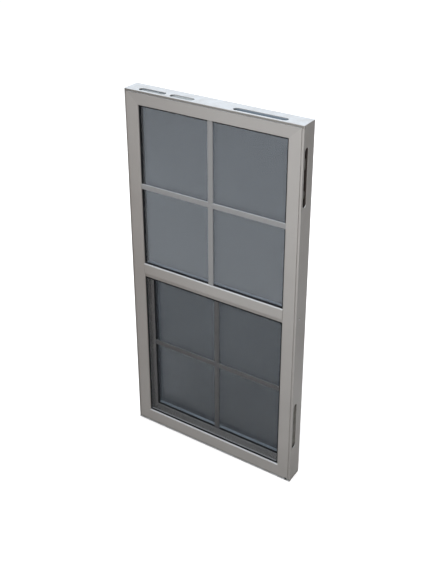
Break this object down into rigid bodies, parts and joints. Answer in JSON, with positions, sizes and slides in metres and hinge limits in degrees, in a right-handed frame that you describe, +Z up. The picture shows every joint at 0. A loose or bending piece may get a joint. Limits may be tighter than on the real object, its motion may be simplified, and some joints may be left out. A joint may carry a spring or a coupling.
{
  "type": "single hung window",
  "caption": "Single hung vinyl window with a fixed upper light, a lower sash behind a half insect screen, crossed bars on both lights, sash lock and tilt latches.",
  "frame": {"origin": "underside of the sill, in the middle of the frame's width and depth", "axes": "+X to the right seen from outside, +Y from the outer face to the room, +Z up"},
  "size_m": [0.596, 0.067, 1.206],
  "materials": {
    "vinyl": "satin warm grey-white vinyl, welded and mitred",
    "bead_vinyl": "satin warm grey-white vinyl",
    "sash_vinyl": "satin warm grey-white vinyl",
    "bar_finish": "satin painted aluminium",
    "clear_glass": "clear float glass with a low-emissivity coating",
    "spacer_metal": "mill aluminium",
    "black_rubber": "black glazing rubber",
    "screen_frame": "painted roll-formed aluminium",
    "screen_cloth": "charcoal insect mesh",
    "hardware": "painted cast metal",
    "balance_steel": "galvanised steel",
    "shoe_plastic": "natural nylon",
    "brush_pile": "grey woven pile"
  },
  "bodies": {
    "root": {"frame_head": "vinyl", "frame_sill": "vinyl", "frame_left_jamb": "vinyl", "frame_right_jamb": "vinyl", "meeting_rail": "vinyl", "upper_head_bead": "bead_vinyl", "upper_left_bead": "bead_vinyl", "upper_right_bead": "bead_vinyl", "lower_left_stop": "bead_vinyl", "lower_right_stop": "bead_vinyl", "sash_top_bead": "bead_vinyl", "sash_bottom_bead": "bead_vinyl", "sash_left_bead": "bead_vinyl", "sash_right_bead": "bead_vinyl", "sash_top_rail": "sash_vinyl", "sash_bottom_rail": "sash_vinyl", "sash_left_stile": "sash_vinyl", "sash_right_stile": "sash_vinyl", "upper_bars": "bar_finish", "sash_bars": "bar_finish", "upper_outer_glass": "clear_glass", "upper_inner_glass": "clear_glass", "sash_outer_glass": "clear_glass", "sash_inner_glass": "clear_glass", "upper_spacer": "spacer_metal", "sash_spacer": "spacer_metal", "upper_gasket": "black_rubber", "sash_gasket": "black_rubber", "screen_spline": "black_rubber", "sill_seal": "black_rubber", "setting_blocks": "black_rubber", "screen_top_rail": "screen_frame", "screen_bottom_rail": "screen_frame", "screen_left_rail": "screen_frame", "screen_right_rail": "screen_frame", "screen_mesh": "screen_cloth", "sash_lock": "hardware", "lock_keeper": "hardware", "left_tilt_latch": "hardware", "right_tilt_latch": "hardware", "left_balance": "balance_steel", "right_balance": "balance_steel", "left_pivot_shoe": "shoe_plastic", "right_pivot_shoe": "shoe_plastic", "sash_piles": "brush_pile"}
  },
  "joints": []
}
